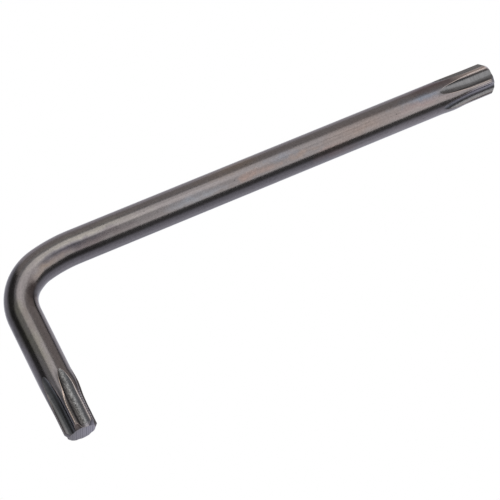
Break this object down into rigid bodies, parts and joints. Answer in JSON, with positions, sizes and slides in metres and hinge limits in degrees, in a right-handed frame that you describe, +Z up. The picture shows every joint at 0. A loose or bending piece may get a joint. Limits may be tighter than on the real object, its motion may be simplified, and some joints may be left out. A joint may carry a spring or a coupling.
{
  "type": "star key",
  "caption": "L-shaped hand key of round blackened steel bar, with a lobed star drive cut into the end of each arm for turning star-socket screws.",
  "frame": {"origin": "middle of the rectangle that the key covers, on the surface that it lies on", "axes": "+X along the long arm towards its star, -Y along the short arm towards its star, +Z up from the surface that the key lies on"},
  "size_m": [0.0808, 0.0286, 0.005],
  "materials": {
    "bar_steel": "drawn and hardened alloy steel bar with a satin black oxide",
    "star_steel": "milled alloy steel under the same satin black oxide"
  },
  "bodies": {
    "root": {"long_tip": "star_steel", "long_arm": "bar_steel", "easy_bend": "bar_steel", "tight_bend": "bar_steel", "short_arm": "bar_steel", "short_tip": "star_steel"}
  },
  "joints": []
}
